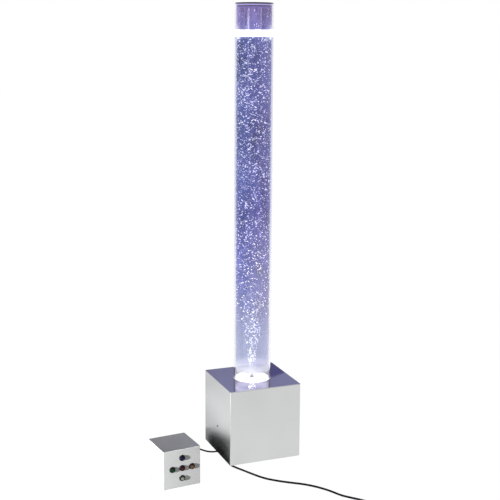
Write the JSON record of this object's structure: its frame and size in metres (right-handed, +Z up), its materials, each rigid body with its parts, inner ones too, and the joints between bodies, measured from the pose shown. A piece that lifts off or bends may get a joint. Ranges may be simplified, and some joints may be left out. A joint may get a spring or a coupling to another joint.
{
  "type": "bubble tube floor lamp",
  "caption": "Floor lamp: a steel base cube with a mirror top carries a tall water-filled bubble tube; a wired control cube has sprung push buttons.",
  "frame": {"origin": "on the floor, in the middle of the footprint of the base cube and the control cube, cords left out", "axes": "+Z up along the tube; the wide front face of the base looks along -Y; the control cube stands at -X, turned a few degrees"},
  "size_m": [0.7501, 1.0213, 1.811],
  "materials": {
    "satin_steel": "satin stainless sheet",
    "plated_steel": "zinc plated sheet",
    "screw_steel": "plated screws",
    "spring_steel": "spring wire",
    "mirror_plate": "mirror polished",
    "collar_aluminium": "plain machined",
    "nozzle_metal": "plated",
    "clear_acrylic": "clear acrylic",
    "water": "water lit from below",
    "lamp_board": "white circuit board",
    "lamp_lens": "lamp lenses",
    "circuit_green": "circuit board",
    "black_plastic": "moulded black",
    "white_plastic": "moulded white",
    "foot_rubber": "matte rubber",
    "seal_rubber": "seal ring",
    "clear_hose": "clear flexible hose",
    "cord_black": "cord sheath",
    "blue_lens": "tinted lens",
    "green_lens": "tinted lens",
    "red_lens": "tinted lens",
    "amber_lens": "tinted lens",
    "white_lens": "tinted lens"
  },
  "bodies": {
    "lamp": {"base_casing": "satin_steel", "base_pan": "plated_steel", "base_feet": "foot_rubber", "pan_screws": "screw_steel", "mirror_top": "mirror_plate", "tube_bridge": "plated_steel", "side_screws": "screw_steel", "tube_collar": "collar_aluminium", "collar_screws": "screw_steel", "acrylic_tube": "clear_acrylic", "tube_floor": "clear_acrylic", "air_nozzle": "nozzle_metal", "nozzle_nut": "nozzle_metal", "led_heat_sink": "collar_aluminium", "led_board": "lamp_board", "led_emitters": "lamp_lens", "water_column": "water", "air_pump": "black_plastic", "pump_mounts": "foot_rubber", "non_return_valve": "white_plastic", "air_hose": "clear_hose", "power_supply": "plated_steel", "terminal_block": "white_plastic", "driver_board": "circuit_green", "board_pillars": "white_plastic", "mains_gland": "black_plastic", "base_lead_gland": "black_plastic", "cube_lead_gland": "black_plastic", "gland_nuts": "black_plastic", "cube_gland_nut": "black_plastic", "control_casing": "satin_steel", "control_base": "plated_steel", "control_feet": "foot_rubber", "control_base_screws": "screw_steel", "control_circuit": "circuit_green", "button_nuts": "black_plastic", "contact_blocks": "white_plastic", "mains_cord": "cord_black", "mains_coil": "cord_black", "mains_plug": "cord_black", "control_lead": "cord_black", "blue_barrel": "black_plastic", "blue_spring": "spring_steel", "green_barrel": "black_plastic", "green_spring": "spring_steel", "red_barrel": "black_plastic", "red_spring": "spring_steel", "amber_barrel": "black_plastic", "amber_spring": "spring_steel", "white_barrel": "black_plastic", "white_spring": "spring_steel"},
    "lid": {"tube_lid": "clear_acrylic", "lid_seal": "seal_rubber"},
    "blue_button": {"blue_cap": "blue_lens"},
    "green_button": {"green_cap": "green_lens"},
    "red_button": {"red_cap": "red_lens"},
    "amber_button": {"amber_cap": "amber_lens"},
    "white_button": {"white_cap": "white_lens"}
  },
  "joints": [
    {"name": "lid_lift", "type": "slide", "parent": "lamp", "child": "lid", "axis": [0, 0, 1], "range_m": [0, 0.07]},
    {"name": "blue_press", "type": "slide", "parent": "lamp", "child": "blue_button", "axis": [-0.1002, 0.995, 0], "range_m": [0, 0.003], "stiffness_N_per_m": 250, "springref_m": -0.004, "deforming": ["blue_spring"]},
    {"name": "green_press", "type": "slide", "parent": "lamp", "child": "green_button", "axis": [-0.1002, 0.995, 0], "range_m": [0, 0.003], "stiffness_N_per_m": 250, "springref_m": -0.004, "deforming": ["green_spring"]},
    {"name": "red_press", "type": "slide", "parent": "lamp", "child": "red_button", "axis": [-0.1002, 0.995, 0], "range_m": [0, 0.003], "stiffness_N_per_m": 250, "springref_m": -0.004, "deforming": ["red_spring"]},
    {"name": "amber_press", "type": "slide", "parent": "lamp", "child": "amber_button", "axis": [-0.1002, 0.995, 0], "range_m": [0, 0.003], "stiffness_N_per_m": 250, "springref_m": -0.004, "deforming": ["amber_spring"]},
    {"name": "white_press", "type": "slide", "parent": "lamp", "child": "white_button", "axis": [-0.1002, 0.995, 0], "range_m": [0, 0.003], "stiffness_N_per_m": 250, "springref_m": -0.004, "deforming": ["white_spring"]}
  ]
}
